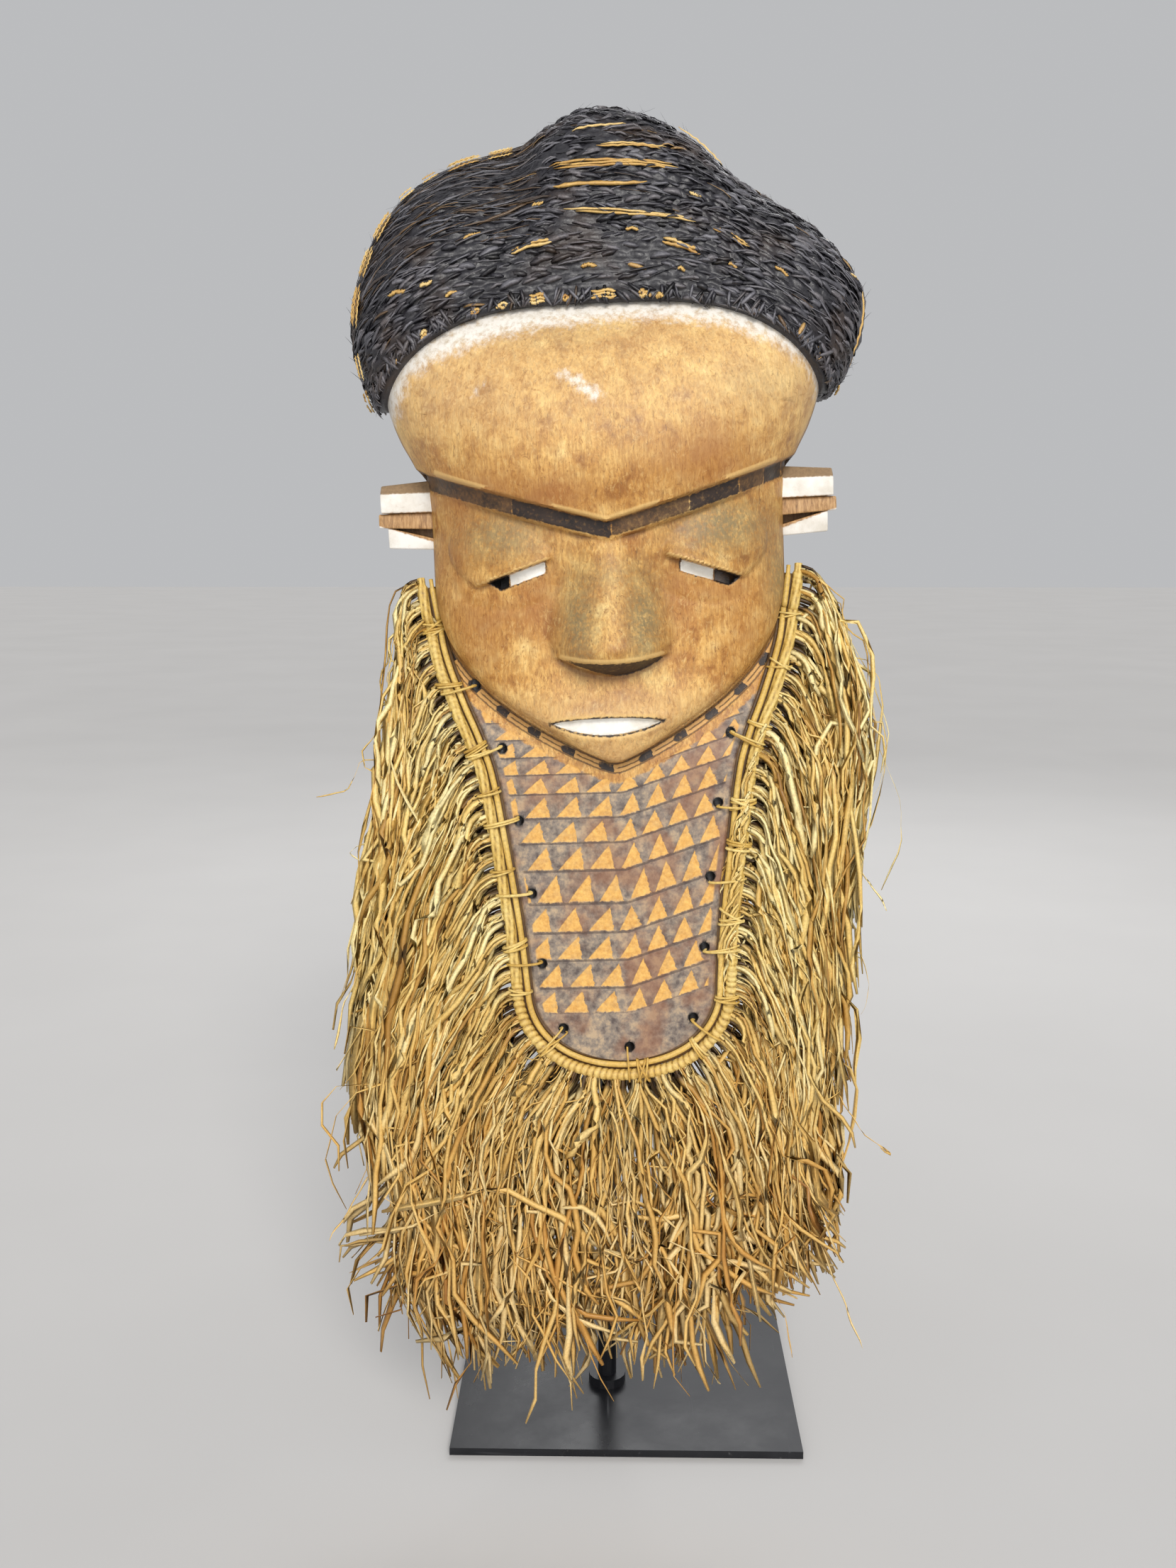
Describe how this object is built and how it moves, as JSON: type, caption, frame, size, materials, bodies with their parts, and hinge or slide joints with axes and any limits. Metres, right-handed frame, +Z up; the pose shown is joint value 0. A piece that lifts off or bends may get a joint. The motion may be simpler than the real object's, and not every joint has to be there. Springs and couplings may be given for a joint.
{
  "type": "pende mask on stand",
  "caption": "Carved wooden face mask with a long flat beard board, plaited fibre cap and raffia beard, held upright by a steel post on a square base plate.",
  "frame": {"origin": "centre of the underside of the square base plate, on the surface the stand rests on", "axes": "+Z up, the mask looks along -Y, +X is to the right seen from the front"},
  "size_m": [0.2584, 0.2185, 0.6652],
  "materials": {
    "carved_wood": "hand-carved light hardwood, worn stain, white pigment in carved features",
    "black_fibre": "black-dyed plaited plant fibre, worn tan on raised edges",
    "split_cane": "split cane, dry and dull",
    "raffia": "natural raffia, dry, slightly silky strands",
    "black_steel": "black lacquered steel, satin, lightly scratched and dusty"
  },
  "bodies": {
    "root": {"mask_carving": "carved_wood", "plaited_cap": "black_fibre", "cane_hoop": "split_cane", "raffia_heading": "raffia", "raffia_fringe": "raffia", "stand_post": "black_steel", "base_plate": "black_steel"}
  },
  "joints": []
}
